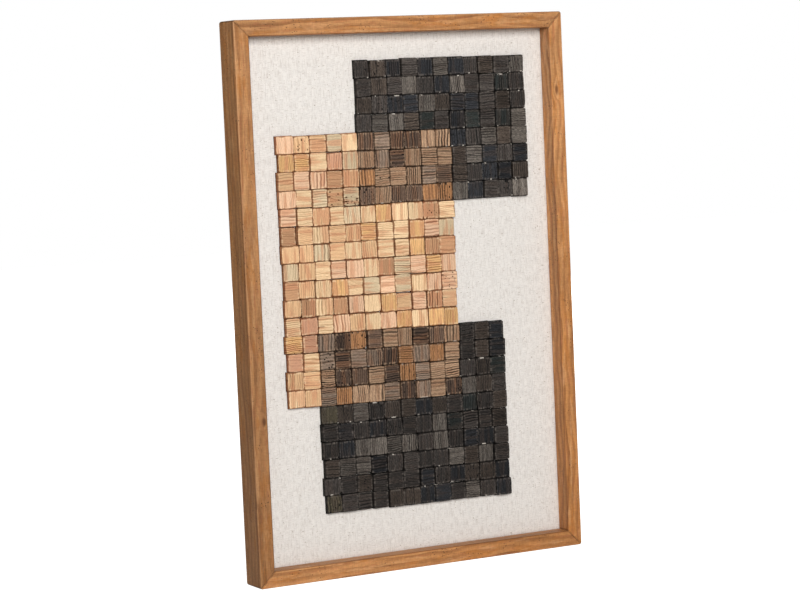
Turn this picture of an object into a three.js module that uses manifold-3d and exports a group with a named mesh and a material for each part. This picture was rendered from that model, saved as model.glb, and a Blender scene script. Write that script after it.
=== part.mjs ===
// A framed wall panel. Three overlapping fields of small wooden blocks, natural, brown and black,
// are glued in rows on a linen-covered board, which sits deep inside a mitred wooden frame.
// Millimetres. Seen from the front, +X is to the right, +Y goes into the wall and +Z is up.
// The origin is on the back of the top rail, halfway along it and halfway up it.
import * as THREE from "three";
import { mergeVertices } from "three/addons/utils/BufferGeometryUtils.js";
import Module from "manifold-3d";

// Frame: four mitred rails with a rabbet behind the shoulder that holds the board
const panelWidth = 500;
const panelHeight = 750;
const frameDepth = 45;
const railWidth = 22;
const recessDepth = 23; // from the front of the frame to the shoulder of the rabbet
const rabbetWidth = 6; // how far the rabbet is cut into the rail
const edgeRound = 1.6; // sanded edges, front and back
const edgeRoundSteps = 3;
const cornerRound = 3.5; // the frame's four outer corners, seen from the front
const cornerRoundSteps = 6;
const mitreGap = 0.3;

// What lies in the rabbet
const linenThickness = 0.7;
const boardThickness = 5;
const boardClearance = 1; // around the board's edge, inside the rabbet
const gluedGap = 0.3; // between faces that are glued or pressed together

// Bare linen between the blocks and the rails
const leftMargin = 40.3;
const rightMargin = 32;
const topMargin = 35.5;
const bottomMargin = 61.4;

// Blocks: how freely a hand lays them on the grid that all three fields share
const rowGap = 0.3; // the least that stays open between two rows
const rowFall = 0.35; // how much lower than its left neighbour a block lies, in the lowest rows
const rowShift = 0.7; // how far the line between two rows strays up or down at each block
const heightSpread = 0.9; // how much lower than its place a block may be
const heightEven = 4; // the higher, the fewer blocks are much lower than their places
const thinnestBlock = 5.6;
const thicknessSpread = 2.4;
const jointShift = 1.4; // how far a joint between two blocks strays to either side
const blockTurn = THREE.MathUtils.degToRad(0.5); // how far a block is turned, either way
const blockBond = 0.4; // how far blocks of one strip run into each other where they touch
const stripGap = 0.8; // between two strips of one row

// Hangers: two steel plates with a keyhole, let into the back of the top rail
const hangerSpacing = 300;
const hangerThickness = 1.5;
const hangerSink = 0.6; // from the plate to the wall, so that the heads of its screws clear the wall
const hangerFit = 0.3; // around the plate, in its pocket
const hangerTopMargin = 3; // wood left above the plate
const hangerCornerRound = 4;
const hangerRoundSteps = 10;
const eyeRadius = 5; // where the head of the wall screw goes in
const eyeMargin = 4; // steel left around the eye
const slotWidth = 4.4; // for the shank of the screw
const slotRise = 12; // from the middle of the eye to the middle of the slot's round end
const slotClearance = 2; // from the slot's end up to the rail's wood

// The three fields in cells of the grid, counted from its top left corner
const upperField = { column: 5, columns: 11, row: 0, rows: 8 };
const middleField = { column: 0, columns: 11, row: 4, rows: 15 };
const lowerField = { column: 2, columns: 12, row: 15, rows: 10 };

const fields = [upperField, middleField, lowerField];
const gridColumns = Math.max(...fields.map((field) => field.column + field.columns));
const gridRows = Math.max(...fields.map((field) => field.row + field.rows));

// The grid fills the frame's opening inside its margins, with cells about 24 mm square
const openingWidth = panelWidth - 2 * railWidth;
const openingHeight = panelHeight - 2 * railWidth;
const columnPitch = (openingWidth - leftMargin - rightMargin) / gridColumns;
const rowPitch = (openingHeight - topMargin - bottomMargin) / gridRows;

// Depths, with the back of the frame at y = 0
const frameFrontY = -frameDepth;
const shoulderY = frameFrontY + recessDepth;
const linenFrontY = shoulderY + gluedGap;
const boardFrontY = linenFrontY + linenThickness + gluedGap;
const backLand = railWidth - rabbetWidth; // width of the rails' back faces

// The corners of a turned block reach this much further up and down, or to the sides
const turnReach = Math.max(columnPitch, rowPitch) * Math.sin(blockTurn);
const passReach = 2 * turnReach + blockBond / 2; // within this, a block can touch one that it passes

// Finishes
const finishes = {
  frame: new THREE.MeshStandardMaterial({ color: 0xb87f4a, roughness: 0.55 }),
  linen: new THREE.MeshStandardMaterial({ color: 0xe2dad2, roughness: 0.95 }),
  board: new THREE.MeshStandardMaterial({ color: 0x8a6a4a, roughness: 0.9 }),
  natural: new THREE.MeshStandardMaterial({ color: 0xdcb283, roughness: 0.8 }),
  brown: new THREE.MeshStandardMaterial({ color: 0x7b5f4a, roughness: 0.8 }),
  black: new THREE.MeshStandardMaterial({ color: 0x3b3836, roughness: 0.75 }),
  steel: new THREE.MeshStandardMaterial({ color: 0xa9acad, roughness: 0.4, metalness: 1 }),
};

const wasm = await Module();
wasm.setup();

// A closed three.js geometry as a solid that can be joined and cut
function solidOf(geometry) {
  const bare = geometry.clone();
  bare.deleteAttribute("normal");
  bare.deleteAttribute("uv");
  const merged = mergeVertices(bare, 1e-4);
  return new wasm.Manifold(
    new wasm.Mesh({
      numProp: 3,
      vertProperties: new Float32Array(merged.attributes.position.array),
      triVerts: new Uint32Array(merged.index.array),
    }),
  );
}

function meshOf(name, solid, material) {
  const { vertProperties, triVerts } = solid.getMesh();
  const geometry = new THREE.BufferGeometry();
  geometry.setAttribute("position", new THREE.BufferAttribute(vertProperties, 3));
  geometry.setIndex(new THREE.BufferAttribute(triVerts, 1));
  const mesh = new THREE.Mesh(geometry, material);
  mesh.name = name;
  return mesh;
}

// A flat outline, drawn as seen from the front, made into a slab from one depth to another
function slab(outline, frontY, backY, options = {}) {
  const geometry = new THREE.ExtrudeGeometry(outline, {
    depth: backY - frontY,
    bevelEnabled: false,
    ...options,
  });
  return geometry.rotateX(Math.PI / 2).translate(0, backY, 0);
}

function rectangle(width, height) {
  const points = [
    [-width / 2, -height / 2],
    [width / 2, -height / 2],
    [width / 2, height / 2],
    [-width / 2, height / 2],
  ];
  return new THREE.Shape(points.map(([x, z]) => new THREE.Vector2(x, z)));
}

function roundedRectangle(width, height, radius) {
  const x = width / 2 - radius;
  const z = height / 2 - radius;
  const shape = new THREE.Shape();
  shape.absarc(x, z, radius, 0, Math.PI / 2);
  shape.absarc(-x, z, radius, Math.PI / 2, Math.PI);
  shape.absarc(-x, -z, radius, Math.PI, 1.5 * Math.PI);
  shape.absarc(x, -z, radius, 1.5 * Math.PI, 2 * Math.PI);
  shape.closePath();
  return shape;
}

// The whole frame before it is parted at the mitres: sanded edges, with the rabbet cut from behind
function frameRing() {
  const outline = roundedRectangle(panelWidth, panelHeight, cornerRound);
  outline.holes.push(new THREE.Path(rectangle(openingWidth, openingHeight).getPoints()));
  const ring = slab(outline, frameFrontY + edgeRound, -edgeRound, {
    curveSegments: cornerRoundSteps,
    bevelEnabled: true,
    bevelSize: edgeRound,
    bevelOffset: -edgeRound,
    bevelThickness: edgeRound,
    bevelSegments: edgeRoundSteps,
  });
  const rabbet = rectangle(openingWidth + 2 * rabbetWidth, openingHeight + 2 * rabbetWidth);
  return solidOf(ring).subtract(solidOf(slab(rabbet, shoulderY, recessDepth)));
}

// All that lies between the two mitres of a rail along the top, in a frame of this size
function mitreWedge(width, height) {
  const reach = railWidth / 2;
  const gap = mitreGap / Math.SQRT2;
  const top = height / 2 + reach;
  const bottom = height / 2 - railWidth - reach;
  const halfTop = width / 2 + reach - gap;
  const halfBottom = width / 2 - railWidth - reach - gap;
  const points = [
    [-halfBottom, bottom],
    [halfBottom, bottom],
    [halfTop, top],
    [-halfTop, top],
  ];
  const wedge = new THREE.Shape(points.map(([x, z]) => new THREE.Vector2(x, z)));
  return slab(wedge, 2 * frameFrontY, recessDepth);
}

// Heights of the hangers, in the panel's own frame, which is centred on the panel
const hangerTopZ = panelHeight / 2 - hangerTopMargin;
const slotZ = panelHeight / 2 - backLand - slotClearance - slotWidth / 2;
const eyeZ = slotZ - slotRise;
const hangerWidth = 2 * (eyeRadius + eyeMargin);
const hangerHeight = hangerTopZ - (eyeZ - eyeRadius - eyeMargin);
const hangerZ = hangerTopZ - hangerHeight / 2;
const hangerPlaces = [
  { name: "keyhole_hanger_left", x: -hangerSpacing / 2 },
  { name: "keyhole_hanger_right", x: hangerSpacing / 2 },
];

// A hanger plate's outline around its own middle, with the keyhole cut through it
function hangerOutline() {
  const outline = roundedRectangle(hangerWidth, hangerHeight, hangerCornerRound);
  const slotAngle = Math.asin(slotWidth / 2 / eyeRadius); // where the slot meets the eye
  const keyhole = new THREE.Path();
  keyhole.absarc(0, eyeZ - hangerZ, eyeRadius, Math.PI / 2 + slotAngle, 2.5 * Math.PI - slotAngle);
  keyhole.absarc(0, slotZ - hangerZ, slotWidth / 2, 0, Math.PI);
  keyhole.closePath();
  outline.holes.push(keyhole);
  return outline;
}

function hangerPocket(place) {
  const pocket = roundedRectangle(
    hangerWidth + 2 * hangerFit,
    hangerHeight + 2 * hangerFit,
    hangerCornerRound + hangerFit,
  );
  const floorY = -hangerSink - hangerThickness - gluedGap;
  return solidOf(slab(pocket, floorY, recessDepth).translate(place.x, 0, hangerZ));
}

function buildFrame() {
  const group = new THREE.Group();
  const ring = hangerPlaces.reduce((solid, place) => solid.subtract(hangerPocket(place)), frameRing());
  const rails = [
    { name: "top_rail", turn: 0, width: panelWidth, height: panelHeight },
    { name: "right_rail", turn: Math.PI / 2, width: panelHeight, height: panelWidth },
    { name: "bottom_rail", turn: Math.PI, width: panelWidth, height: panelHeight },
    { name: "left_rail", turn: -Math.PI / 2, width: panelHeight, height: panelWidth },
  ];
  for (const rail of rails) {
    const wedge = solidOf(mitreWedge(rail.width, rail.height).rotateY(rail.turn));
    group.add(meshOf(rail.name, ring.intersect(wedge), finishes.frame));
  }
  return group;
}

function buildHangers() {
  const group = new THREE.Group();
  for (const place of hangerPlaces) {
    const plate = slab(hangerOutline(), -hangerSink - hangerThickness, -hangerSink, {
      curveSegments: hangerRoundSteps,
    });
    const mesh = new THREE.Mesh(plate, finishes.steel);
    mesh.name = place.name;
    mesh.position.set(place.x, 0, hangerZ);
    group.add(mesh);
  }
  return group;
}

function buildBoard() {
  const group = new THREE.Group();
  const width = openingWidth + 2 * (rabbetWidth - boardClearance);
  const height = openingHeight + 2 * (rabbetWidth - boardClearance);
  const layers = [
    { name: "linen_facing", y: linenFrontY, thickness: linenThickness, material: finishes.linen },
    { name: "backing_board", y: boardFrontY, thickness: boardThickness, material: finishes.board },
  ];
  for (const layer of layers) {
    const mesh = new THREE.Mesh(new THREE.BoxGeometry(width, layer.thickness, height), layer.material);
    mesh.name = layer.name;
    mesh.position.y = layer.y + layer.thickness / 2;
    group.add(mesh);
  }
  return group;
}

// A number from 0 to 1 that belongs to one cell of the grid and one quality of its block.
// It looks random and is always the same: the last digits of a steep sine wave.
function chance(row, column, quality) {
  const wave = 43758.5453 * Math.sin(12.9898 * row + 78.233 * column + 37.719 * quality);
  return wave - Math.floor(wave);
}

const spread = (row, column, quality) => 2 * chance(row, column, quality) - 1;

const holds = (field, row, column) =>
  row >= field.row &&
  row < field.row + field.rows &&
  column >= field.column &&
  column < field.column + field.columns;

// Which finish a cell has: the fields are brown where a black one lies over the natural one
function finishAt(row, column) {
  const inMiddle = holds(middleField, row, column);
  if (holds(upperField, row, column)) return inMiddle ? "upper_brown" : "upper_black";
  if (holds(lowerField, row, column)) return inMiddle ? "lower_brown" : "lower_black";
  return inMiddle ? "natural" : null;
}

// One row as strips of neighbouring blocks with the same finish
function stripsOf(row) {
  const strips = [];
  for (let column = 0; column < gridColumns; column += 1) {
    const finish = finishAt(row, column);
    const last = strips.at(-1);
    if (finish && last && last.finish === finish && last.end === column) last.end = column + 1;
    else if (finish) strips.push({ finish, start: column, end: column + 1 });
  }
  return strips;
}

// Where a row's blocks meet side by side
const jointX = (row, column) =>
  leftMargin - openingWidth / 2 + column * columnPitch + jointShift * spread(row, column, 1);

// Where a row begins at one of its blocks: the top row lies level, and from there down to the lower
// field the rows fall more and more to the right
function lineZ(row, column) {
  const fall = rowFall * Math.min(row / lowerField.row, 1) * (column - gridColumns / 2);
  return openingHeight / 2 - topMargin - row * rowPitch - fall + rowShift * spread(row, column, 2);
}

// The lowest that a block may reach: it stands clear of each block below that it passes over
function footZ(row, column, left, right) {
  const below = [lineZ(row + 1, column)];
  if (left - passReach < jointX(row + 1, column)) below.push(lineZ(row + 1, column - 1));
  if (right + passReach > jointX(row + 1, column + 1)) below.push(lineZ(row + 1, column + 1));
  return Math.max(...below);
}

// One block, turned and shifted a little as a hand lays it
function block(row, column, strip) {
  const leftReach = column === strip.start ? -stripGap / 2 : blockBond / 2;
  const rightReach = column === strip.end - 1 ? -stripGap / 2 : blockBond / 2;
  const left = jointX(row, column) - leftReach;
  const right = jointX(row, column + 1) + rightReach;
  const top = lineZ(row, column);
  const foot = footZ(row, column, left, right);
  const shortfall = heightSpread * chance(row, column, 3) ** heightEven;
  const height = top - foot - rowGap - turnReach - shortfall;
  const thickness = thinnestBlock + thicknessSpread * chance(row, column, 4);
  return new THREE.BoxGeometry(right - left, thickness, height)
    .rotateY(blockTurn * spread(row, column, 5))
    .translate((left + right) / 2, shoulderY - thickness / 2, (top + foot) / 2);
}

function buildBlocks() {
  const group = new THREE.Group();
  const materials = {
    natural: finishes.natural,
    upper_brown: finishes.brown,
    lower_brown: finishes.brown,
    upper_black: finishes.black,
    lower_black: finishes.black,
  };
  const rowsMade = {};
  for (let row = 0; row < gridRows; row += 1) {
    for (const strip of stripsOf(row)) {
      rowsMade[strip.finish] = (rowsMade[strip.finish] ?? 0) + 1;
      let solid = solidOf(block(row, strip.start, strip));
      for (let column = strip.start + 1; column < strip.end; column += 1)
        solid = solid.add(solidOf(block(row, column, strip)));
      const name = `${strip.finish}_row_${rowsMade[strip.finish]}`;
      group.add(meshOf(name, solid, materials[strip.finish]));
    }
  }
  return group;
}

// The panel's middle lies below the origin, which is at the middle of the top rail's back
const panel = new THREE.Group();
panel.add(buildFrame(), buildBoard(), buildHangers(), buildBlocks());
panel.position.z = backLand / 2 - panelHeight / 2;

export default new THREE.Group().add(panel);
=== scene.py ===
import math
import random

import bpy
from mathutils import Matrix, Vector


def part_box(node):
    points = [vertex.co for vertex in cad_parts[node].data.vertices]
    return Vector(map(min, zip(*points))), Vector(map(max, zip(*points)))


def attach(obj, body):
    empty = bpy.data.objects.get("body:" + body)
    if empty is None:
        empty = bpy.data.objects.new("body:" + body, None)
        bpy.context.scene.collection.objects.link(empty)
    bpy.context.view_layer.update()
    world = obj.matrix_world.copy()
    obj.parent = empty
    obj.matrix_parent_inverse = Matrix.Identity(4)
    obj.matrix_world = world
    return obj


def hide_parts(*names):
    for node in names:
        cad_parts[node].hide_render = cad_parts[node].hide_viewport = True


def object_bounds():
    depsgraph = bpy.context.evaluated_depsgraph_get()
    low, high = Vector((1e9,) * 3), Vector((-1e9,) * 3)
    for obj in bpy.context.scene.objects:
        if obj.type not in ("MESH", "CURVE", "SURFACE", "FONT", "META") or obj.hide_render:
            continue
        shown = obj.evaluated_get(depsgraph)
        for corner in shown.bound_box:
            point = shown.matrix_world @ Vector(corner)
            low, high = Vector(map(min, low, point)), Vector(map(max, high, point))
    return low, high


# The looks of a framed wall panel: small wooden blocks in rows on linen, inside an oiled frame.
# Metres; +X to the right seen from the front, +Y into the wall, +Z up.
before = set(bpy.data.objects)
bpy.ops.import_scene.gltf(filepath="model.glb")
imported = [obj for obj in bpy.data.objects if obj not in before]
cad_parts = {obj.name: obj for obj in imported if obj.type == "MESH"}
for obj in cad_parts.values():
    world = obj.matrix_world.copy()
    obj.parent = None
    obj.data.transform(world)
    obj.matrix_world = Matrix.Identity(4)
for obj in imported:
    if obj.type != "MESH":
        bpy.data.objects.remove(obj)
cadLow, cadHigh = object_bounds()
print("frame loaded")


# Short calls for the nodes that the shaders and the geometry trees share.
# They add to the node tree that was begun last.

current = {"tree": None}


def put(value, socket):
    if isinstance(value, bpy.types.NodeSocket):
        current["tree"].links.new(value, socket)
    else:
        socket.default_value = value


def addNode(kind, sockets=None, **settings):
    made = current["tree"].nodes.new(kind)
    for name, value in settings.items():
        setattr(made, name, value)
    for name, value in (sockets or {}).items():
        put(value, made.inputs[name])
    return made


def maths(operation, a, b=None):
    given = {0: a} if b is None else {0: a, 1: b}
    return addNode("ShaderNodeMath", given, operation=operation).outputs[0]


def times(first, *others):
    for other in others:
        first = maths("MULTIPLY", first, other)
    return first


def plus(first, *others):
    for other in others:
        first = maths("ADD", first, other)
    return first


def minus(a, b):
    return maths("SUBTRACT", a, b)


def absolute(value):
    return maths("ABSOLUTE", value)


def vector(x, y, z):
    return addNode("ShaderNodeCombineXYZ", {0: x, 1: y, 2: z}).outputs[0]


def split(value):
    return addNode("ShaderNodeSeparateXYZ", {0: value}).outputs


def length(x, y, z=0.0):
    arrow = vector(x, y, z)
    return addNode("ShaderNodeVectorMath", {0: arrow}, operation="LENGTH").outputs["Value"]


def noise(place, scale=1.0, detail=2.0, roughness=0.5):
    wanted = {"Vector": place, "Scale": scale, "Detail": detail, "Roughness": roughness}
    return addNode("ShaderNodeTexNoise", wanted).outputs[0]


def between(value, low, high, toLow=0.0, toHigh=1.0):
    wanted = {0: value, 1: low, 2: high, 3: toLow, 4: toHigh}
    kind = {"clamp": True, "interpolation_type": "SMOOTHSTEP"}
    return addNode("ShaderNodeMapRange", wanted, **kind).outputs[0]


def blend(amount, a, b, mode="MIX"):
    wanted = {0: amount, 6: a, 7: b}
    return addNode("ShaderNodeMix", wanted, data_type="RGBA", blend_type=mode).outputs[2]


def shaded(colour, light):
    return blend(1.0, colour, light, "MULTIPLY")


def paint(red, green, blue):
    # a colour as a paint chart gives it, 0 to 255, made linear
    def linear(part):
        part /= 255
        return part / 12.92 if part <= 0.04045 else ((part + 0.055) / 1.055) ** 2.4
    return (linear(red), linear(green), linear(blue), 1.0)


def addObject(name, data):
    made = bpy.data.objects.new(name, data)
    bpy.context.scene.collection.objects.link(made)
    return made


def dressNode(name, material):
    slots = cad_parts[name].data.materials
    slots.clear()
    slots.append(material)


def newMaterial(name, roughness=0.6, specular=0.5):
    material = bpy.data.materials.new(name)
    material.use_nodes = True
    current["tree"] = material.node_tree
    shader = material.node_tree.nodes["Principled BSDF"]
    shader.inputs["Roughness"].default_value = roughness
    shader.inputs["Specular IOR Level"].default_value = specular
    return material, shader


def addBump(shader, height, strength, distance):
    wanted = {"Height": height, "Strength": strength, "Distance": distance}
    bump = addNode("ShaderNodeBump", wanted)
    put(bump.outputs[0], shader.inputs["Normal"])


# Wood: rings and fibres, for the blocks and the rails.
# grain is (across, along, seed), with both lengths in millimetres.

millimetres = 1000.0  # in a metre
rings = {
    "stray": 6.0,  # how far a ring leaves its straight line, in millimetres
    "strayScale": (0.04, 0.03),  # of the noise behind it, across the grain and along it
    "seedShift": 3.7,  # the rings by which two pieces differ, for each step of their seeds
    "ownShift": 1.7,  # a step in the noise that gives each ring its strength
    "begin": 0.75,  # where the latewood begins in its ring, less its share
    "dark": 0.55,  # how long before the end of the ring it is fully dark, in shares
    "end": 0.93,  # where it starts to end
    "faintest": 0.3,  # the weakest ring, beside the strongest
    "fibreStretch": 0.09,  # how slowly the fibres change along the grain
    "fibreShift": 5.0,
}


# A place for noise, stretched across and along the grain
def stretched(grain, acrossScale, alongScale, shift=0.0):
    across, along, seed = split(grain)
    return vector(times(across, acrossScale), times(along, alongScale), plus(seed, shift))


# Growth rings, 0 in the soft wood to 1 in the dark latewood; share is how wide the latewood is
def latewood(grain, spacing, share):
    across, _, seed = split(grain)
    stray = noise(stretched(grain, *rings["strayScale"]))
    across = plus(across, times(minus(stray, 0.5), rings["stray"]))
    phase = plus(maths("DIVIDE", across, spacing), times(seed, rings["seedShift"]))
    saw = maths("FRACT", phase)
    rise = between(saw, rings["begin"] - share, 1.0 - rings["dark"] * share)
    fall = between(saw, rings["end"], 1.0, 1.0, 0.0)
    ownRing = vector(times(maths("FLOOR", phase), rings["ownShift"]), 0.0, seed)
    strength = between(noise(ownRing, 1.0, 0.0), 0.3, 0.65, rings["faintest"], 1.0)
    return times(rise, fall, strength)


# Thin fibres along the grain, 0 to 1
def fibres(grain, fineness, detail):
    across, along, seed = split(grain)
    place = vector(times(across, fineness), times(along, rings["fibreStretch"] * fineness),
                   times(seed, rings["fibreShift"]))
    return noise(place, 1.0, detail, 0.6)


# Fibres and latewood stand proud, cracks and holes lie deep
def woodBump(shader, bump, fine, late, holes):
    height = plus(times(fine, bump["fibres"]), times(late, bump["rings"]))
    height = minus(height, times(holes, bump["holes"]))
    addBump(shader, height, bump["strength"], bump["distance"])


# Blocks: where each one lies and how big it is. The grid and the chances are those of the solids,
# but here the rows lie closer and each block stands alone.

layout = {
    "leftMargin": 0.0403,  # bare linen from the rail to the blocks
    "rightMargin": 0.032,
    "topMargin": 0.0355,
    "bottomMargin": 0.0614,
    "rowGap": 0.0001,  # between a block and those below it
    "rowFall": 0.00035,  # how much a low row falls from each column to the next
    "rowShift": 0.0007,  # how far the line between two rows strays
    "heightSpread": 0.0009,  # how much shorter a block can be
    "heightEven": 4,  # the higher, the fewer blocks are cut short
    "thinnest": 0.0056,
    "thicknessSpread": 0.0024,
    "jointShift": 0.0014,  # how far a joint strays to each side
    "blockTurn": math.radians(0.5),
    "blockBond": 0.0004,  # how far the blocks of a row overlap in the solids
    "stripGap": 0.0008,  # between blocks of two finishes
    "jointGap": 0.0025,  # the widest joint between two blocks of one finish
    "jointEven": 4,  # the higher, the fewer joints are wide
    "lyingShare": 0.48,  # of the blocks, with the grain from side to side
    "ringEven": 1.5,  # the higher, the more blocks have narrow rings
    "faceSlope": 0.0005,  # how far a face leans to each side
    "seedSpread": 60,
}
fields = {
    "upper": {"column": 5, "columns": 11, "row": 0, "rows": 8},
    "middle": {"column": 0, "columns": 11, "row": 4, "rows": 15},
    "lower": {"column": 2, "columns": 12, "row": 15, "rows": 10},
}
gridColumns = max(field["column"] + field["columns"] for field in fields.values())
gridRows = max(field["row"] + field["rows"] for field in fields.values())
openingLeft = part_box("left_rail")[1].x
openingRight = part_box("right_rail")[0].x
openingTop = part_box("top_rail")[0].z
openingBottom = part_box("bottom_rail")[1].z
gridLeft = openingLeft + layout["leftMargin"]
gridTop = openingTop - layout["topMargin"]
columnPitch = (openingRight - layout["rightMargin"] - gridLeft) / gridColumns
rowPitch = (gridTop - openingBottom - layout["bottomMargin"]) / gridRows
turnReach = max(columnPitch, rowPitch) * math.sin(layout["blockTurn"])
passReach = 2 * turnReach + layout["blockBond"] / 2
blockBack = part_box("natural_row_1")[1].y


# What chance decides, each with its own number
qualities = {
    "jointX": 1, "lineZ": 2, "height": 3, "thickness": 4, "turn": 5, "lying": 6, "wood": 7, "shade": 8,
    "spacing": 9, "streak": 10, "pits": 11, "slopeX": 12, "slopeZ": 13, "seed": 14, "gap": 15,
}


def chance(row, column, quality):
    # always the same number from 0 to 1 for one cell and one quality of its block
    wave = 43758.5453 * math.sin(12.9898 * row + 78.233 * column + 37.719 * qualities[quality])
    return wave - math.floor(wave)


def spread(row, column, quality):
    return 2 * chance(row, column, quality) - 1


def holds(field, row, column):
    inRows = field["row"] <= row < field["row"] + field["rows"]
    return inRows and field["column"] <= column < field["column"] + field["columns"]


def finishAt(row, column):
    inMiddle = holds(fields["middle"], row, column)
    for side in ("upper", "lower"):
        if holds(fields[side], row, column):
            return f"{side}_brown" if inMiddle else f"{side}_black"
    return "natural" if inMiddle else None


def jointX(row, column):
    return gridLeft + column * columnPitch + layout["jointShift"] * spread(row, column, "jointX")


def lineZ(row, column):
    fall = layout["rowFall"] * min(row / fields["lower"]["row"], 1) * (column - gridColumns / 2)
    return gridTop - row * rowPitch - fall + layout["rowShift"] * spread(row, column, "lineZ")


def footZ(row, column, left, right):
    # a block stands clear of each block below that it passes over
    below = [lineZ(row + 1, column)]
    if left - passReach < jointX(row + 1, column):
        below.append(lineZ(row + 1, column - 1))
    if right + passReach > jointX(row + 1, column + 1):
        below.append(lineZ(row + 1, column + 1))
    return max(below)


# What the finishes look like: (share of the blocks, wood, latewood)
palettes = {
    "natural": [
        (0.22, paint(214, 174, 132), paint(128, 82, 50)),
        (0.30, paint(232, 200, 158), paint(164, 118, 78)),
        (0.16, paint(226, 186, 152), paint(140, 90, 64)),
        (0.09, paint(218, 172, 118), paint(132, 84, 46)),
        (0.08, paint(206, 184, 150), paint(126, 100, 74)),
        (0.12, paint(186, 142, 106), paint(96, 60, 38)),
        (0.03, paint(194, 146, 116), paint(122, 78, 58)),
    ],
    "brown": [
        (0.28, paint(170, 138, 110), paint(44, 32, 25)),
        (0.24, paint(110, 88, 73), paint(32, 25, 21)),
        (0.20, paint(142, 121, 104), paint(40, 32, 27)),
        (0.12, paint(170, 122, 82), paint(62, 40, 26)),
        (0.16, paint(84, 67, 56), paint(26, 20, 17)),
    ],
    "black": [
        (0.31, paint(70, 64, 60), paint(12, 11, 10)),
        (0.24, paint(46, 47, 50), paint(9, 9, 11)),
        (0.18, paint(76, 66, 58), paint(14, 12, 11)),
        (0.10, paint(46, 50, 48), paint(11, 12, 11)),
        (0.16, paint(114, 106, 98), paint(20, 18, 16)),
        (0.01, paint(88, 80, 64), paint(28, 25, 19)),
    ],
}
# How the blocks of a finish are cut and brushed
figures = {
    "natural": {"spacing": (1.9, 5.2), "streak": (0.2, 1.0), "share": 0.42,
                "relief": 0.00025, "pits": 0.07, "variety": 0.15},
    "brown": {"spacing": (2.5, 5.4), "streak": (0.65, 1.0), "share": 0.52,
              "relief": 0.00045, "pits": 0.3, "variety": 0.2},
    "black": {"spacing": (2.0, 4.6), "streak": (0.4, 1.0), "share": 0.55,
              "relief": 0.00055, "pits": 0.25, "variety": 0.34},
}
finishTones = {"upper_black": 0.94, "upper_brown": 1.02, "natural": 1.02, "lower_brown": 0.93,
               "lower_black": 0.64}


def pick(choices, share):
    for part, wood, late in choices:
        share -= part
        if share <= 0:
            break
    return wood, late


def familyOf(finish):
    return finish.split("_")[-1]


# Half the width of the joint on one side of a block
def jointInset(row, joint, finish, neighbour):
    if finishAt(row, neighbour) != finish:
        return layout["stripGap"] / 2
    return layout["jointGap"] / 2 * chance(row, joint, "gap") ** layout["jointEven"]


# One cell of the grid as the place, size and looks of its block
def blockAt(row, column, finish):
    family = familyOf(finish)
    figure = figures[family]
    left = jointX(row, column) + jointInset(row, column, finish, column - 1)
    right = jointX(row, column + 1) - jointInset(row, column + 1, finish, column + 1)
    top = lineZ(row, column)
    foot = footZ(row, column, left, right)
    shortfall = layout["heightSpread"] * chance(row, column, "height") ** layout["heightEven"]
    height = top - foot - layout["rowGap"] - shortfall
    thickness = layout["thinnest"] + layout["thicknessSpread"] * chance(row, column, "thickness")
    turn = layout["blockTurn"] * spread(row, column, "turn")
    lying = chance(row, column, "lying") < layout["lyingShare"]
    width = right - left
    size = (height, thickness, width) if lying else (width, thickness, height)
    wood, late = pick(palettes[family], chance(row, column, "wood"))
    shade = finishTones[finish] * (1 + figure["variety"] * spread(row, column, "shade"))
    narrow, wide = figure["spacing"]
    weak, strong = figure["streak"]
    slope = layout["faceSlope"]
    return {
        "place": ((left + right) / 2, blockBack, (top + foot) / 2),
        "blockSize": size,
        "spin": turn + (math.pi / 2 if lying else 0.0),
        "wood": [part * shade for part in wood[:3]] + [1.0],
        "late": [part * shade for part in late[:3]] + [1.0],
        "figure": (narrow + (wide - narrow) * chance(row, column, "spacing") ** layout["ringEven"],
                   weak + (strong - weak) * chance(row, column, "streak"),
                   1.0 if chance(row, column, "pits") < figure["pits"] else 0.0),
        "slope": (slope * spread(row, column, "slopeX"), slope * spread(row, column, "slopeZ"), 0.0),
        "seed": layout["seedSpread"] * chance(row, column, "seed"),
    }


blockCuts = {
    "across": 30,  # faces across the grain
    "along": 7,
    "inset": 0.012,  # of the eased edge, as a share of the block's side
    "drop": 0.055,  # of the eased edge, as a share of its thickness
    # the dark glue collar is partly glue and partly painted shade deep in the joints
    "glueShadeReach": 0.024,  # how far the dark glue stands out beside the block, as a share of its side
    "glueShadeDepth": 0.5,  # how far it fills the joint, as a share of its thickness
    "edgeWear": 0.0009,  # how deep the edges are chipped
    "wearReach": 0.12,  # how far from the edge, as a share of the side
    "chipScale": 0.14,  # chips to the millimetre
    "ringLean": 0.55,  # how far the rings lean as they go into the block
    "ringShare": 0.4,  # how much of each ring stands proud
    "leastRelief": 0.35,  # of a block with faint rings, beside one with strong ones
    "fibreRelief": 0.9,  # of the fibres, beside the rings
    "fibreFineness": 0.8,
    "sideWander": 0.018,  # how far the sawn sides stray, as a share of the side
    "wanderScale": 90.0,
    "cornerStart": 0.42,  # where the corners begin to be rounded, from the middle
    "cornerRound": 0.025,
    "cornerChip": 0.04,
}
attributeKinds = {
    "blockSize": "FLOAT_VECTOR", "figure": "FLOAT_VECTOR", "slope": "FLOAT_VECTOR",
    "wood": "FLOAT_COLOR", "late": "FLOAT_COLOR", "spin": "FLOAT", "seed": "FLOAT",
}


def pointCloudOf(name, blocks):
    mesh = bpy.data.meshes.new(name)
    mesh.from_pydata([block["place"] for block in blocks], [], [])
    for label, kind in attributeKinds.items():
        layer = mesh.attributes.new(label, kind, "POINT")
        field = {"FLOAT_VECTOR": "vector", "FLOAT_COLOR": "color", "FLOAT": "value"}[kind]
        for item, block in zip(layer.data, blocks):
            setattr(item, field, block[label])
    return mesh


def geometryNode(kind, sockets=None, **settings):
    return addNode("GeometryNode" + kind, sockets, **settings).outputs[0]


def named(name, kind="FLOAT"):
    return geometryNode("InputNamedAttribute", {"Name": name}, data_type=kind)


def namedVector(name):
    return named(name, "FLOAT_VECTOR")


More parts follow.
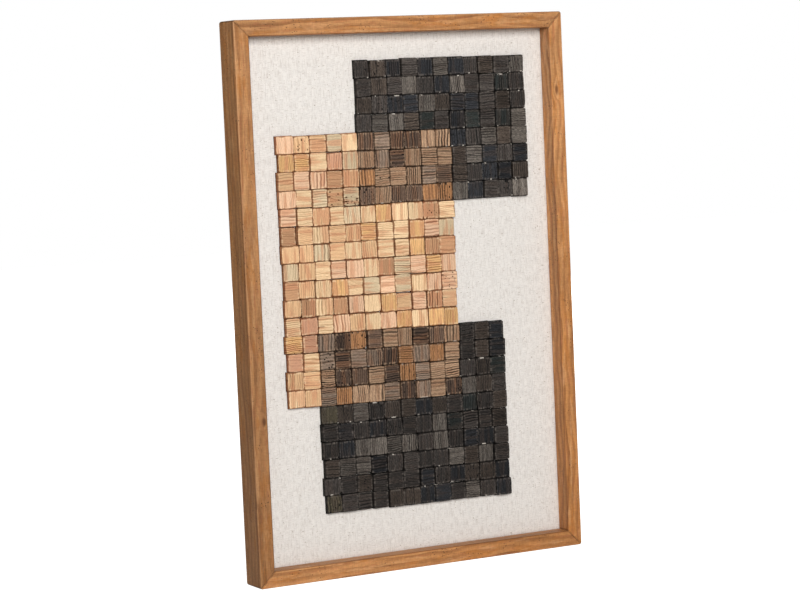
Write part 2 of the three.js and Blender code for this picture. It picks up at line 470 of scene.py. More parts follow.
def store(geometry, name, value):
    wanted = {"Geometry": geometry, "Name": name, "Value": value}
    return geometryNode("StoreNamedAttribute", wanted, data_type="FLOAT_VECTOR")


def pointPlace():
    return geometryNode("InputPosition")


def moved(geometry, offset=None, position=None):
    wanted = {"Geometry": geometry}
    if offset is not None:
        wanted["Offset"] = offset
    if position is not None:
        wanted["Position"] = position
    return geometryNode("SetPosition", wanted)


# A block of unit size, its back at y = 0 and its face at y = -1, with eased edges round the face
# and a collar of dark glue round its back half, which is also painted shade deep in the joints
def unitBlock():
    profile = [  # (depth, how much wider than the block), from the back to the face
        (0.0, blockCuts["glueShadeReach"]),
        (blockCuts["glueShadeDepth"], blockCuts["glueShadeReach"]),
        (blockCuts["glueShadeDepth"], 0.0),
        (1.0 - blockCuts["drop"], 0.0),
        (1.0 - 0.25 * blockCuts["drop"], -0.3 * blockCuts["inset"]),
        (1.0, -blockCuts["inset"]),
    ]
    cube = geometryNode("MeshCube", {
        "Size": (1.0, 1.0, 1.0), "Vertices X": blockCuts["across"] + 1,
        "Vertices Y": len(profile), "Vertices Z": blockCuts["along"] + 1})
    x, y, z = split(pointPlace())
    level = times(minus(0.5, y), len(profile) - 1.0)
    depth, wider = profile[0][0], 1.0 + 2 * profile[0][1]
    for place in range(1, len(profile)):
        reached = maths("GREATER_THAN", level, place - 0.5)
        deeper = profile[place][0] - profile[place - 1][0]
        growth = 2 * (profile[place][1] - profile[place - 1][1])
        depth = plus(depth, times(reached, deeper))
        wider = plus(wider, times(reached, growth))
    back = times(depth, -1.0)
    # more cells near the ends of the grain, so that the corners can be worn round
    z = times(maths("SINE", times(z, math.pi)), 0.5)
    shaped = moved(cube, position=vector(times(x, wider), back, times(z, wider)))
    return store(shaped, "unit", vector(x, back, z))


def newTree(name, inputs):
    tree = bpy.data.node_groups.new(name, "GeometryNodeTree")
    tree.interface.new_socket("Geometry", in_out="INPUT", socket_type="NodeSocketGeometry")
    for label, kind in inputs.items():
        tree.interface.new_socket(label, in_out="INPUT", socket_type=kind)
    tree.interface.new_socket("Geometry", in_out="OUTPUT", socket_type="NodeSocketGeometry")
    current["tree"] = tree
    return tree, tree.nodes.new("NodeGroupInput"), tree.nodes.new("NodeGroupOutput")


# One unit block on each point, sized and turned
def layUnits(points):
    marked = store(points, "middle", pointPlace())
    turned = vector(0.0, named("spin"), 0.0)
    spin = addNode("FunctionNodeEulerToRotation", {0: turned}).outputs[0]
    laid = geometryNode("InstanceOnPoints", {
        "Points": marked, "Instance": unitBlock(), "Rotation": spin,
        "Scale": namedVector("blockSize")})
    return geometryNode("RealizeInstances", {"Geometry": laid})


# From a place on a block to the nearest edge of its face, as a share of the side
def offEdge(unitX, unitZ):
    return minus(0.5, maths("MAXIMUM", absolute(unitX), absolute(unitZ)))


# How deep a face is brushed: the latewood stands proud of the softer wood between
def brushed(relief):
    grain = namedVector("grain")
    spacing, streak, _ = split(namedVector("figure"))
    least = blockCuts["leastRelief"]
    low = minus(1.0, latewood(grain, spacing, blockCuts["ringShare"]))
    low = times(low, plus(least, times(streak, 1.0 - least)))
    rough = fibres(grain, blockCuts["fibreFineness"], 2.0)
    return times(plus(low, times(rough, blockCuts["fibreRelief"])), relief)


# How far a face leans, always into the block
def leant(unitX, unitZ):
    slopeX, slopeZ, _ = split(namedVector("slope"))
    return plus(times(unitX, slopeX), times(unitZ, slopeZ), layout["faceSlope"])


# The sawn sides aren't quite straight and the corners are round: a share of the way to the middle
def drawnIn(wander, unitX, unitZ, face, chips):
    x, _, z = split(pointPlace())
    scale = blockCuts["wanderScale"]
    sidePlace = vector(times(x, scale), times(z, scale), named("seed"))
    pull = times(noise(sidePlace), wander)
    cornerX = between(absolute(unitX), blockCuts["cornerStart"], 0.5)
    cornerZ = between(absolute(unitZ), blockCuts["cornerStart"], 0.5)
    rounding = plus(times(chips, blockCuts["cornerChip"]), blockCuts["cornerRound"])
    return plus(pull, times(cornerX, cornerZ, face, rounding))


# The last node of a tree
def dress(geometry, given, result):
    wanted = {"Geometry": geometry, "Material": given.outputs["Material"]}
    dressed = geometryNode("SetMaterial", wanted)
    put(dressed, result.inputs[0])


# Points in, blocks out: each is sized, turned, brushed along its grain and worn at its edges
def buildBlockTree():
    tree, given, result = newTree("layBlocks", {
        "Relief": "NodeSocketFloat", "Edge wear": "NodeSocketFloat", "Side wander": "NodeSocketFloat",
        "Material": "NodeSocketMaterial"})
    solid = layUnits(given.outputs["Geometry"])
    unit = split(namedVector("unit"))
    size = split(namedVector("blockSize"))
    across, depth, along = [times(part, side, millimetres) for part, side in zip(unit, size)]
    seed = named("seed")
    leaning = plus(across, times(depth, blockCuts["ringLean"]))
    solid = store(solid, "grain", vector(leaning, along, seed))

    unitX, unitY, unitZ = unit
    face = between(times(unitY, -1.0), 1.0 - 1.1 * blockCuts["drop"], 1.0)
    chipScale = blockCuts["chipScale"]
    chips = noise(stretched(vector(across, along, seed), chipScale, chipScale))
    chips = between(chips, 0.48, 0.72)
    atEdge = between(offEdge(unitX, unitZ), 0.0, blockCuts["wearReach"], 1.0, 0.0)
    wear = times(chips, atEdge, given.outputs["Edge wear"])
    sunk = plus(brushed(given.outputs["Relief"]), wear, leant(unitX, unitZ))
    pull = drawnIn(given.outputs["Side wander"], unitX, unitZ, face, chips)
    middleX, _, middleZ = split(namedVector("middle"))
    x, _, z = split(pointPlace())
    offset = vector(times(minus(middleX, x), pull), times(sunk, face), times(minus(middleZ, z), pull))
    solid = moved(solid, offset=offset)

    normalY = split(geometryNode("InputNormal"))[1]
    front = maths("LESS_THAN", normalY, -0.4)
    solid = geometryNode("SetShadeSmooth", {"Geometry": solid, "Selection": front})
    dress(solid, given, result)
    return tree


# Runs a tree on a mesh and gives the result as a plain piece
def grow(name, source, tree, values):
    maker = addObject(name + "_maker", source)
    modifier = maker.modifiers.new("grow", "NODES")
    modifier.node_group = tree
    for item in tree.interface.items_tree:
        if item.item_type == "SOCKET" and item.in_out == "INPUT" and item.name in values:
            modifier[item.identifier] = values[item.name]
    graph = bpy.context.evaluated_depsgraph_get()
    mesh = bpy.data.meshes.new_from_object(maker.evaluated_get(graph))
    bpy.data.objects.remove(maker)
    mesh.name = name
    return addObject(name, mesh)


# shade is the colour of the painted shade at the edges of the face and in the joints; the glue colour
# is partly glue and partly painted shade deep in the joints
blockWoods = {
    "natural": {"roughness": 0.75, "specular": 0.15, "fibre": 0.18, "rim": 0.5,
                "rimColour": paint(240, 212, 172), "warm": paint(200, 140, 104), "warmth": 0.6,
                "pit": paint(84, 52, 32), "glueShade": paint(84, 46, 22), "chip": 0.0,
                "shade": paint(146, 98, 62)},
    "brown": {"roughness": 0.68, "specular": 0.15, "fibre": 0.5, "rim": 0.45,
              "rimColour": paint(184, 154, 126), "warm": paint(140, 98, 70), "warmth": 0.4,
              "pit": paint(18, 13, 10), "glueShade": paint(24, 17, 12), "chip": 0.3,
              "shade": paint(112, 98, 88)},
    "black": {"roughness": 0.62, "specular": 0.15, "fibre": 0.95, "rim": 0.45,
              "rimColour": paint(116, 108, 101), "warm": paint(64, 54, 48), "warmth": 0.4,
              "pit": paint(6, 6, 6), "glueShade": paint(10, 9, 9), "chip": 0.6,
              "shade": paint(86, 81, 78)},
}


# Noise in the wood of a block: scale across and along the grain, shift, detail, and where it shows
blockNoise = {
    "warm": (0.13, 0.012, 31.0, 1.0, 0.47, 0.6),
    "crack": (0.7, 0.02, 7.0, 1.0, 0.72, 0.76),
    "rim": (0.35, 0.35, 3.0, 3.0, 0.42, 0.66),
    # the band of painted shade along the edges of a block's face
    "edgeShade": (0.12, 0.12, 17.0, 3.0, 0.42, 0.66),
    "chip": (0.12, 0.12, 23.0, 2.0, 0.65, 0.68),
}
blockBump = {"fibres": 0.6, "rings": 0.5, "holes": 1.2, "strength": 0.7, "distance": 0.0008}
wormHoles = {
    "scale": (0.36, 0.22),  # holes to the millimetre, across and along the grain
    "smallest": 0.1,  # radius, as a share of the room that a hole has
    "spread": 0.42,
    "soft": 0.6,  # the part of the radius that is fully dark
    "clusters": 0.4,
    "shows": (0.38, 0.44),
}
chippedWood = paint(228, 218, 206)


def attribute(name, output="Fac"):
    return addNode("ShaderNodeAttribute", attribute_name=name).outputs[output]


def blockMarks(grain, kind, weak, strong):
    across, along, shift, detail, low, high = blockNoise[kind]
    drawn = noise(stretched(grain, across, along, shift), 1.0, detail)
    return between(drawn, low, high, weak, strong)


# Bands of heartwood and sapwood, rings and fibres
def blockGrain(looks, grain, amount, fine):
    warm = blockMarks(grain, "warm", 0.0, looks["warmth"])
    colour = blend(warm, attribute("wood", "Color"), looks["warm"])
    colour = blend(amount, colour, attribute("late", "Color"))
    return shaded(colour, between(fine, 0.25, 0.75, 1.0 - looks["fibre"], 1.0 + looks["fibre"]))


# The edges of the face are worn pale in places, and painted shade darkens them in others
def wearAndShadeEdges(looks, grain, edge, colour):
    rim = times(between(edge, 0.02, 0.07, 1.0, 0.0), blockMarks(grain, "rim", 0.0, looks["rim"]))
    colour = blend(rim, colour, looks["rimColour"])
    # painted shade along the edges of the face, in a band of changing width
    edgeShadeReach = blockMarks(grain, "edgeShade", 0.003, 0.03)
    edgeShade = between(edge, 0.0, edgeShadeReach, 0.75, 0.0)
    return blend(edgeShade, colour, looks["shade"], "MULTIPLY")


# Worm holes of many sizes, in clusters, on the blocks that are marked for them
def boreHoles(grain, pitted):
    place = stretched(grain, *wormHoles["scale"])
    cells = addNode("ShaderNodeTexVoronoi", {"Vector": place, "Scale": 1.0})
    ownSize = maths("POWER", split(cells.outputs["Color"])[0], 2.0)
    radius = plus(times(ownSize, wormHoles["spread"]), wormHoles["smallest"])
    dot = between(cells.outputs["Distance"], times(radius, wormHoles["soft"]), radius, 1.0, 0.0)
    few = between(noise(place, wormHoles["clusters"], 1.0), *wormHoles["shows"])
    return times(dot, few, pitted)


# The joints get painted shade on the block sides and a collar of dark glue that is also painted shade;
# here and there a level edge is chipped to the bare wood
def fillJoints(looks, grain, unit, colour):
    unitX, unitY, unitZ = unit
    depth = times(unitY, -1.0)
    # painted shade on the sides of the block, below its eased edge
    below = between(depth, 1.0 - 1.5 * blockCuts["drop"], 1.0, 1.0, 0.0)
    colour = blend(below, colour, looks["shade"], "MULTIPLY")
    # the dark glue collar, partly glue and partly painted shade
    gluedShade = between(depth, blockCuts["glueShadeDepth"], 0.85, 1.0, 0.0)
    colour = blend(gluedShade, colour, looks["glueShade"])
    lying = between(attribute("spin"), 0.5, 1.0)
    level = plus(times(absolute(unitX), lying), times(absolute(unitZ), minus(1.0, lying)))
    chipped = times(blockMarks(grain, "chip", 0.0, looks["chip"]),
                    between(level, 0.487, 0.493), between(depth, 0.86, 0.9))
    return blend(chipped, colour, chippedWood)


def blockMaterial(family):
    looks = blockWoods[family]
    material, shader = newMaterial(family + "BlockWood", looks["roughness"], looks["specular"])
    grain = attribute("grain", "Vector")
    unit = split(attribute("unit", "Vector"))
    spacing, streak, pitted = split(attribute("figure", "Vector"))
    late = latewood(grain, spacing, figures[family]["share"])
    fine = fibres(grain, 2.4, 4.0)
    colour = blockGrain(looks, grain, times(late, streak), fine)
    crack = blockMarks(grain, "crack", 0.0, 0.8)
    colour = blend(crack, colour, looks["pit"])
    colour = wearAndShadeEdges(looks, grain, offEdge(unit[0], unit[2]), colour)
    pit = boreHoles(grain, pitted)
    colour = blend(pit, colour, looks["pit"])
    colour = fillJoints(looks, grain, unit, colour)
    put(colour, shader.inputs["Base Color"])
    woodBump(shader, blockBump, fine, late, maths("MAXIMUM", pit, crack))
    return material


def rowNodes(finish):
    return sorted(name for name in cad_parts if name.startswith(finish + "_row_"))


def buildBlocks():
    tree = buildBlockTree()
    woods = {family: blockMaterial(family) for family in blockWoods}
    cells = [(row, column) for row in range(gridRows) for column in range(gridColumns)]
    for finish in finishTones:
        blocks = [blockAt(*cell, finish) for cell in cells if finishAt(*cell) == finish]
        family = familyOf(finish)
        piece = grow(finish + "_blocks", pointCloudOf(finish, blocks), tree, {
            "Relief": figures[family]["relief"], "Edge wear": blockCuts["edgeWear"],
            "Side wander": blockCuts["sideWander"], "Material": woods[family]})
        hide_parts(*rowNodes(finish))
        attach(piece, "root")
        triangles = sum(len(polygon.vertices) - 2 for polygon in piece.data.polygons)
        print(finish, len(blocks), "blocks,", triangles, "triangles")


# Frame: oiled softwood, the grain running along each rail

railLooks = {
    "front": paint(194, 140, 90),
    "latewood": paint(128, 78, 40),
    "red": paint(174, 108, 68),
    "gold": paint(182, 116, 54),
    "pale": paint(212, 160, 110),
    "dark": paint(104, 62, 34),
    "hole": paint(64, 38, 22),
    "ringSpacing": 7.0,  # millimetres
    "ringShare": 0.45,
    "ringsAlong": 0.35,  # how slowly the rings change along the rail
    "pithBend": 40.0,  # how far the pith wanders, in millimetres
    "roughness": 0.5,
    "specular": 0.3,
}
# knots: (place along the rail in metres, millimetres off its middle, radius in millimetres)
# outer: the side of the middle on which the outside of the panel lies
# tone: how light the rail is painted at its left or lower end, and at the other, painted light and
# shade; golden: how yellow
# side: how much lighter the sides of the rail are painted than its face, painted light
# flecked: the higher, the fewer clusters of pinholes
rails = {
    "top_rail": {
        "lies": True, "outer": 1, "pith": (70.0, 38.0), "seed": 3.0, "knots": [],
        "lightAlong": (0.9, 1.03), "golden": (0.1, 0.1), "flecked": 0.5, "side": 1.0},
    "bottom_rail": {
        "lies": True, "outer": -1, "pith": (-85.0, 55.0), "seed": 11.0, "knots": [],
        "lightAlong": (1.02, 0.94), "golden": (0.15, 0.5), "flecked": 0.53, "side": 1.0},
    "left_rail": {
        "lies": False, "outer": -1, "pith": (60.0, 62.0), "seed": 19.0, "knots": [(-0.52, 6.0, 4.0)],
        "lightAlong": (0.65, 0.9), "golden": (0.2, 0.0), "flecked": 0.54, "side": 1.2},
    "right_rail": {
        "lies": False, "outer": 1, "pith": (-74.0, 30.0), "seed": 27.0, "knots": [(-0.1, -1.0, 4.5)],
        "lightAlong": (0.96, 1.15), "golden": (0.6, 0.0), "flecked": 0.56, "side": 1.0},
}
# Marks on the rails: scale across and along the grain, shift, detail, and where each shows
railNoise = {
    "gold": (0.1, 0.02, 40.0, 3.0, 0.5, 0.66),
    "pale": (0.16, 0.03, 90.0, 3.0, 0.54, 0.7),
    "wash": (0.05, 0.012, 150.0, 3.0, 0.35, 0.6),
    "streak": (0.7, 0.012, 210.0, 1.0, 0.64, 0.72),
    "chatter": (0.12, 0.55, 300.0, 2.0, 0.4, 0.6),
    # the painted highlight on the outer edge of a rail
    "edgeHighlight": (0.3, 0.05, 400.0, 3.0, 0.35, 0.6),
    # the painted shade in the mitre seams
    "mitreShade": (0.12, 0.12, 500.0, 3.0, 0.4, 0.6),
}
railBump = {"fibres": 0.5, "rings": 0.35, "holes": 1.0, "strength": 0.45, "distance": 0.0005}
knotShape = {
    "long": 2.2,  # along the grain, in radii
    "deep": 3.0,
    "behindMiddle": 22.0,  # from the middle of the rail forward to its face, in millimetres
    "pushReach": 2.2,  # how far out the rings bend round it
    "push": 9.0,  # millimetres
}
pinholes = {
    "across": 0.4,  # to the millimetre
    "along": 0.22,
    "size": (0.12, 0.26),
    "clusters": 0.12,
    "softness": 0.05,
}


# Where a point lies in its rail, all in millimetres
def railPlace(name, rail):
    x, y, z = split(addNode("ShaderNodeTexCoord").outputs["Object"])
    low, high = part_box(name)
    centre = (low + high) / 2
    widthMm = millimetres * min(high.x - low.x, high.z - low.z)
    depthMm = millimetres * (high.y - low.y)
    lengthMm = millimetres * max(high.x - low.x, high.z - low.z)
    middleMm = millimetres * (centre.x if rail["lies"] else centre.z)
    run, rise, start = (x, z, centre.z) if rail["lies"] else (z, x, centre.x)
    along = times(run, millimetres)
    wide = times(minus(rise, start), millimetres)
    deep = times(minus(y, centre.y), millimetres)
    fromOuter = minus(widthMm / 2, times(wide, rail["outer"]))
    return {
        "along": along, "wide": wide, "deep": deep, "seed": rail["seed"],
        "start": middleMm - lengthMm / 2, "end": middleMm + lengthMm / 2,
        "fromOuter": fromOuter, "fromInner": minus(widthMm, fromOuter),
        "behindFace": plus(deep, depthMm / 2),
        "fromEnd": minus(lengthMm / 2, absolute(minus(along, middleMm))),
    }


def railMarks(at, kind, weak, strong):
    across, along, shift, detail, low, high = railNoise[kind]
    place = vector(times(at["wide"], across), times(at["deep"], across),
                   plus(times(at["along"], along), at["seed"] + shift))
    return between(noise(place, 1.0, detail, 0.6), low, high, weak, strong)


def alongRail(at, ends):
    return between(at["along"], at["start"], at["end"], *ends)


# How far from the pith of the log a point lies, and how much of a knot it is. The pith lies outside
# the rail and wanders along it, and the rings bend round the knots.
def ringsAndKnots(at, rail):
    bend = noise(vector(times(at["along"], 0.006), at["seed"], 0.0))
    bend = times(minus(bend, 0.5), railLooks["pithBend"])
    fromPithX = plus(minus(at["wide"], rail["pith"][0]), bend)
    across = length(fromPithX, minus(at["deep"], rail["pith"][1]))
    knot = 0.0
    for place, off, radius in rail["knots"]:
        overAlong = minus(at["along"], place * millimetres)
        overDeep = plus(at["deep"], knotShape["behindMiddle"])
        far = length(maths("DIVIDE", overAlong, knotShape["long"] * radius),
                     maths("DIVIDE", minus(at["wide"], off), radius),
                     maths("DIVIDE", overDeep, knotShape["deep"] * radius))
        pushed = between(far, 0.0, knotShape["pushReach"], knotShape["push"], 0.0)
        across = plus(across, pushed)
        knot = maths("MAXIMUM", knot, between(far, 0.25, 0.9, 1.0, 0.0))
    return across, knot


# The oiled wood: rings, stains, streaks, and the marks that the planer left across the grain
def railWood(at, rail, late, fine, coarse):
    looks = railLooks
    colour = blend(alongRail(at, rail["golden"]), looks["front"], looks["gold"])
    colour = blend(times(late, 0.75), colour, looks["latewood"])
    colour = blend(between(coarse, 0.5, 0.68, 0.0, 0.6), colour, looks["red"])
    colour = blend(railMarks(at, "gold", 0.0, 0.65), colour, looks["gold"])
    colour = blend(railMarks(at, "pale", 0.0, 0.5), colour, looks["pale"])
    colour = shaded(colour, between(fine, 0.25, 0.75, 0.8, 1.15))
    colour = shaded(colour, railMarks(at, "wash", 0.84, 1.04))
    colour = blend(railMarks(at, "streak", 0.0, 0.5), colour, looks["dark"])
    return shaded(colour, railMarks(at, "chatter", 0.93, 1.04))


# The outer edge of the face gets a painted highlight. Painted shade darkens the side just behind it and
# the edge at the linen.
def railEdgeLight(at, colour):
    toCorner = length(at["fromOuter"], at["behindFace"])
    onFace = between(at["behindFace"], 0.5, 1.4, 1.0, 0.0)
    # painted highlight on the rounded outer edge
    edgeHighlight = times(between(toCorner, 0.6, 2.2, 1.0, 0.0), railMarks(at, "edgeHighlight", 0.2, 0.7), onFace)
    colour = blend(edgeHighlight, colour, railLooks["pale"])
    # painted shade just behind the outer edge, and along the edge at the linen
    shadeBehindEdge = times(between(at["fromOuter"], 0.5, 1.5, 1.0, 0.0),
                       between(at["behindFace"], 1.0, 5.0, 0.35, 0.0))
    toLinen = length(at["fromInner"], at["behindFace"])
    railEdgeShade = maths("MAXIMUM", shadeBehindEdge, between(toLinen, 0.5, 1.7, 0.75, 0.0))
    return blend(railEdgeShade, colour, railLooks["dark"])


# Painted light and shade: how light the rail is painted from end to end and on its sides, and the
# painted shade of the dark line of the mitres
def railLightAndShade(at, rail):
    # painted shade along the mitre seam
    offMitre = absolute(minus(at["fromEnd"], at["fromOuter"]))
    mitreShade = times(between(offMitre, 0.2, 1.1, 1.0, 0.0), railMarks(at, "mitreShade", 0.1, 0.5))
    # painted light on the sides of the rail
    side = between(at["behindFace"], 0.5, 1.4, 1.0, rail["side"])
    # painted light and shade from end to end, on the sides and in the mitres
    return times(alongRail(at, rail["lightAlong"]), minus(1.0, mitreShade), side)


# Pinholes and short dark flecks in clusters
def railHoles(at, flecked):
    place = vector(times(at["wide"], pinholes["across"]), times(at["deep"], pinholes["across"]),
                   times(at["along"], pinholes["along"]))
    cells = addNode("ShaderNodeTexVoronoi", {"Vector": place, "Scale": 1.0})
    dot = between(cells.outputs["Distance"], *pinholes["size"], 1.0, 0.0)
    cluster = noise(place, pinholes["clusters"], 1.0)
    return times(dot, between(cluster, flecked, flecked + pinholes["softness"]))


def railMaterial(name, rail):
    looks = railLooks
    material, shader = newMaterial(name + "Wood", looks["roughness"], looks["specular"])
    at = railPlace(name, rail)
    across, knot = ringsAndKnots(at, rail)
    grain = vector(across, times(at["along"], looks["ringsAlong"]), at["seed"])
    late = latewood(grain, looks["ringSpacing"], looks["ringShare"])
    skin = vector(plus(at["wide"], at["deep"]), at["along"], at["seed"])
    fine = fibres(skin, 1.4, 4.0)
    coarse = fibres(skin, 0.3, 2.0)
    colour = railWood(at, rail, late, fine, coarse)
    colour = blend(times(knot, 0.8), colour, looks["dark"])
    colour = railEdgeLight(at, colour)
    colour = shaded(colour, railLightAndShade(at, rail))
    hole = railHoles(at, rail["flecked"])
    colour = blend(hole, colour, looks["hole"])
    put(colour, shader.inputs["Base Color"])
    woodBump(shader, railBump, fine, late, hole)
    return material


def dressRails():
    for name, rail in rails.items():
        dressNode(name, railMaterial(name, rail))
    print("rails dressed")


# Linen: a plain weave with slubs, pasted on the board

linen = {
    "threads": 1.35,  # threads to the millimetre
    "light": paint(238, 233, 227),
    "shade": paint(212, 204, 196),
    "fleck": paint(166, 150, 134),
    "lying": (0.14, 1.2, 2.0),  # noise: scale across, scale upward and shift
    "standing": (0.9, 0.07, 7.0),
    "mottled": (0.2, 0.12, 13.0),
    "flecks": (0.272, 0.48, 18.4),
    "unevenness": 0.00012,
    "cells": (46, 70),
}


def linenMaterial():
    material, shader = newMaterial("linenCloth", 0.92, 0.2)
    shader.inputs["Sheen Weight"].default_value = 0.15
    x, _, z = split(addNode("ShaderNodeTexCoord").outputs["Object"])
    across = times(x, millimetres)
    up = times(z, millimetres)
    turnsPerMm = linen["threads"] * math.pi
    warp = absolute(maths("SINE", times(across, turnsPerMm)))
    weft = absolute(maths("SINE", times(up, turnsPerMm)))
    weave = times(warp, weft)

    def slubs(kind):
        acrossScale, upScale, shift = linen[kind]
        place = vector(times(across, acrossScale), times(up, upScale), shift)
        return noise(place, 1.0, 3.0, 0.6)

    thick = maths("MAXIMUM", slubs("lying"), slubs("standing"))
    colour = blend(between(thick, 0.48, 0.7), linen["light"], linen["shade"])
    colour = shaded(colour, between(slubs("mottled"), 0.3, 0.7, 0.955, 1.03))
    flecks = between(slubs("flecks"), 0.66, 0.7, 0.0, 0.85)
    colour = blend(flecks, colour, linen["fleck"])
    colour = shaded(colour, between(weave, 0.0, 0.6, 0.86, 1.02))
    put(colour, shader.inputs["Base Color"])
    height = plus(times(weave, 0.6), times(thick, 1.2))
    addBump(shader, height, 0.7, 0.0004)
    return material


# A closed sheet: a front of small cells that isn't quite flat, four edges and a plain back
def buildLinen():
    low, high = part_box("linen_facing")
    columns, rows = linen["cells"]
    soft = random.Random(5)
    points = []
    for row in range(rows + 1):
        for column in range(columns + 1):
            inside = 0 < row < rows and 0 < column < columns
            sunk = linen["unevenness"] * soft.random() if inside else 0.0
            points.append((low.x + (high.x - low.x) * column / columns, low.y + sunk,
                           low.z + (high.z - low.z) * row / rows))
    faces = []
    for row in range(rows):
        for column in range(columns):
            first = row * (columns + 1) + column
            faces.append((first, first + 1, first + columns + 2, first + columns + 1))
    border = list(range(columns + 1))
    border += [row * (columns + 1) + columns for row in range(1, rows + 1)]
    border += [rows * (columns + 1) + column for column in range(columns - 1, -1, -1)]
    border += [row * (columns + 1) for row in range(rows - 1, 0, -1)]
    backStart = len(points)
    points += [(points[place][0], high.y, points[place][2]) for place in border]
    count = len(border)
    for step in range(count):
        after = (step + 1) % count
        faces.append((border[after], border[step], backStart + step, backStart + after))
    faces.append(tuple(backStart + step for step in range(count - 1, -1, -1)))
    mesh = bpy.data.meshes.new("linen_cloth")
    mesh.from_pydata(points, [], faces)
    for polygon in mesh.polygons[:columns * rows]:
        polygon.use_smooth = True
    mesh.materials.append(linenMaterial())
    piece = addObject("linen_cloth", mesh)
    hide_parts("linen_facing")
    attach(piece, "root")
    print("linen laid")


# Board: bare fibreboard, seen from behind

fibreboard = {
    "dark": paint(122, 92, 64),
    "light": paint(164, 130, 94),
    "speckles": 900.0,  # to the metre
    "patches": 14.0,
}


def dressBoard():
    material, shader = newMaterial("fibreBoard", 0.85, 0.25)
    place = addNode("ShaderNodeTexCoord").outputs["Object"]
    speckle = noise(place, fibreboard["speckles"], 3.0, 0.7)
    patches = noise(place, fibreboard["patches"], 3.0)
    colour = blend(between(speckle, 0.35, 0.7), fibreboard["dark"], fibreboard["light"])
    colour = shaded(colour, between(patches, 0.35, 0.65, 0.96, 1.03))
    put(colour, shader.inputs["Base Color"])
    addBump(shader, speckle, 0.3, 0.0003)
    dressNode("backing_board", material)
    print("board dressed")


# Hangers: zinc-plated plates with two small screws each

zinc = {
    "dark": paint(150, 152, 153),
    "light": paint(184, 186, 184),
    "roughness": (0.48, 0.62),
    "clouds": 220.0,  # to the metre
    "brushed": (60.0, 60.0, 2600.0),
}
screws = {
    "headRadius": 0.0028,
    "headHeight": 0.00045,
    "spacing": 0.0085,  # from one screw to the other, on one plate
    "belowTop": 0.0065,  # from the top of the plate to the screws
    "slotWidth": 0.0007,
    "slotLength": 2.4,  # in head radii
    "slotDepth": 1.1,  # in head heights
    "turn": 1.2,  # how far the slots are turned at most, in radians
    "steps": 24,
    "rings": 10,
}


def steelMaterial():
    material, shader = newMaterial("zincedSteel")
    shader.inputs["Metallic"].default_value = 1.0
    place = addNode("ShaderNodeTexCoord").outputs["Object"]
    cloud = noise(place, zinc["clouds"], 3.0)
    drawn = addNode("ShaderNodeMapping", {"Vector": place, "Scale": zinc["brushed"]}).outputs[0]
    colour = blend(between(cloud, 0.35, 0.65), zinc["dark"], zinc["light"])
    put(colour, shader.inputs["Base Color"])
    put(between(cloud, 0.3, 0.7, *zinc["roughness"]), shader.inputs["Roughness"])
    addBump(shader, noise(drawn), 0.15, 0.0002)
    return material


# Points in, screw heads out: low domes whose slots lie across the plate
def buildScrewTree():
    tree, given, result = newTree("setScrews", {
        "Radius": "NodeSocketFloat", "Height": "NodeSocketFloat", "Slot": "NodeSocketFloat",
        "Material": "NodeSocketMaterial"})
    radius, height, slot = (given.outputs[name] for name in ("Radius", "Height", "Slot"))
    dome = geometryNode("MeshUVSphere", {
        "Segments": screws["steps"], "Rings": screws["rings"], "Radius": 1.0})
    upright = (math.pi / 2, 0.0, 0.0)  # the poles of the dome lie on the axis of the screw
    dome = geometryNode("Transform", {"Geometry": dome, "Rotation": upright})
    size = vector(radius, height, radius)
    head = geometryNode("Transform", {"Geometry": dome, "Scale": size})
    barSize = vector(times(radius, screws["slotLength"]), times(height, screws["slotDepth"]), slot)
    bar = geometryNode("MeshCube", {"Size": barSize})
    shift = vector(0.0, height, 0.0)
    bar = geometryNode("Transform", {"Geometry": bar, "Translation": shift})
    cut = geometryNode("MeshBoolean", {"Mesh 1": head, "Mesh 2": bar},
                       operation="DIFFERENCE", solver="EXACT")
    reach = {2: -screws["turn"], 3: screws["turn"], "Seed": 4}
    angle = addNode("FunctionNodeRandomValue", reach, data_type="FLOAT").outputs[1]
    turn = addNode("FunctionNodeEulerToRotation", {0: vector(0.0, angle, 0.0)}).outputs[0]
    laid = geometryNode("InstanceOnPoints", {
        "Points": given.outputs["Geometry"], "Instance": cut, "Rotation": turn})
    solid = geometryNode("RealizeInstances", {"Geometry": laid})
    dress(solid, given, result)
    return tree


def buildHangers():
    steel = steelMaterial()
    places = []
    for name in ("keyhole_hanger_left", "keyhole_hanger_right"):
        dressNode(name, steel)
        low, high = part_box(name)
        for side in (-0.5, 0.5):
            places.append(((low.x + high.x) / 2 + side * screws["spacing"], high.y,
                           high.z - screws["belowTop"]))
    points = bpy.data.meshes.new("screw_places")
    points.from_pydata(places, [], [])
    piece = grow("hanger_screws", points, buildScrewTree(), {
        "Radius": screws["headRadius"], "Height": screws["headHeight"], "Slot": screws["slotWidth"],
        "Material": steel})
    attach(piece, "root")
    print("hangers screwed on")


buildBlocks()
dressRails()
buildLinen()
dressBoard()
buildHangers()


# Studio: a pale floor, a white surround, soft lights and the camera

white = paint(255, 255, 255)
studio = {
    "floorSize": 14.0,
    "floor": paint(228, 227, 225),
    "floorGlow": 0.93,  # so that the floor looks as white as the backdrop
    "surround": 0.12,
    "keyPlace": (-1.48, -4.5, 1.3),
    "keySize": 2.1,
    "keyPower": 236.0,
    "backPlace": (3.4, 3.6, 0.9),
    "backSize": 3.0,
    "backPower": 130.0,
}
camera = {
    "place": (-1.60862, -3.05935, -0.10383),
    "aim": (-0.0230, -0.045, -0.3744),
    "roll": 2.56,  # degrees; the panel leans back a little where it was photographed
    "lens": 113.7,
}


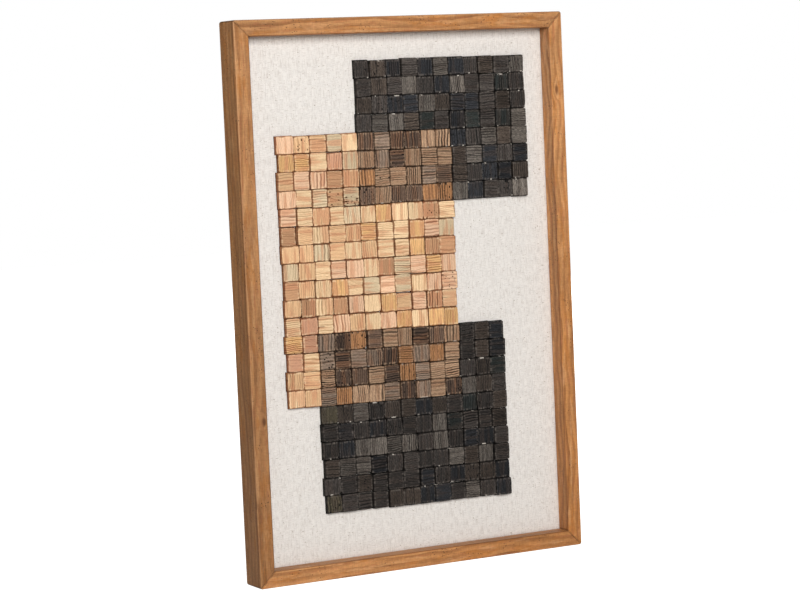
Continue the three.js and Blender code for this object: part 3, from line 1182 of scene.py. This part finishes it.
def buildFloor():
    half = studio["floorSize"] / 2
    z = cadLow.z
    mesh = bpy.data.meshes.new("floor")
    corners = [(-half, -half, z), (half, -half, z), (half, half, z), (-half, half, z)]
    mesh.from_pydata(corners, [], [(0, 1, 2, 3)])
    material, shader = newMaterial("paleFloor", 0.7, 0.2)
    shader.inputs["Base Color"].default_value = studio["floor"]
    shader.inputs["Emission Color"].default_value = white
    seen = addNode("ShaderNodeLightPath").outputs["Is Camera Ray"]
    put(between(seen, 0.0, 1.0, 0.0, studio["floorGlow"]), shader.inputs["Emission Strength"])
    mesh.materials.append(material)
    floor = addObject("floor", mesh)


def addSoftLight(name, place, size, power):
    light = bpy.data.lights.new(name, "AREA")
    light.size = size
    light.energy = power
    lamp = addObject(name, light)
    lamp.location = place
    towards = Vector((0.0, 0.0, (cadLow.z + cadHigh.z) / 2)) - Vector(place)
    lamp.rotation_euler = towards.to_track_quat("-Z", "Y").to_euler()


def buildStudio():
    buildFloor()
    addSoftLight("key", studio["keyPlace"], studio["keySize"], studio["keyPower"])
    addSoftLight("back", studio["backPlace"], studio["backSize"], studio["backPower"])
    world = bpy.data.worlds.new("surround")
    world.use_nodes = True
    tree = world.node_tree
    current["tree"] = tree
    # soft light all round, behind a backdrop that looks plain white
    seen = addNode("ShaderNodeLightPath").outputs["Is Camera Ray"]
    strength = between(seen, 0.0, 1.0, studio["surround"], 1.0)
    put(strength, tree.nodes["Background"].inputs["Strength"])
    tree.nodes["Background"].inputs["Color"].default_value = white
    bpy.context.scene.world = world
    bpy.context.scene.view_settings.view_transform = "Standard"


def buildCamera():
    data = bpy.data.cameras.new("camera")
    data.lens = camera["lens"]
    eye = addObject("camera", data)
    towards = Vector(camera["aim"]) - Vector(camera["place"])
    look = towards.to_track_quat("-Z", "Y").to_matrix().to_4x4()
    roll = Matrix.Rotation(math.radians(-camera["roll"]), 4, "Z")
    eye.matrix_world = Matrix.Translation(camera["place"]) @ look @ roll
    bpy.context.scene.camera = eye


buildStudio()
buildCamera()
print("studio built")
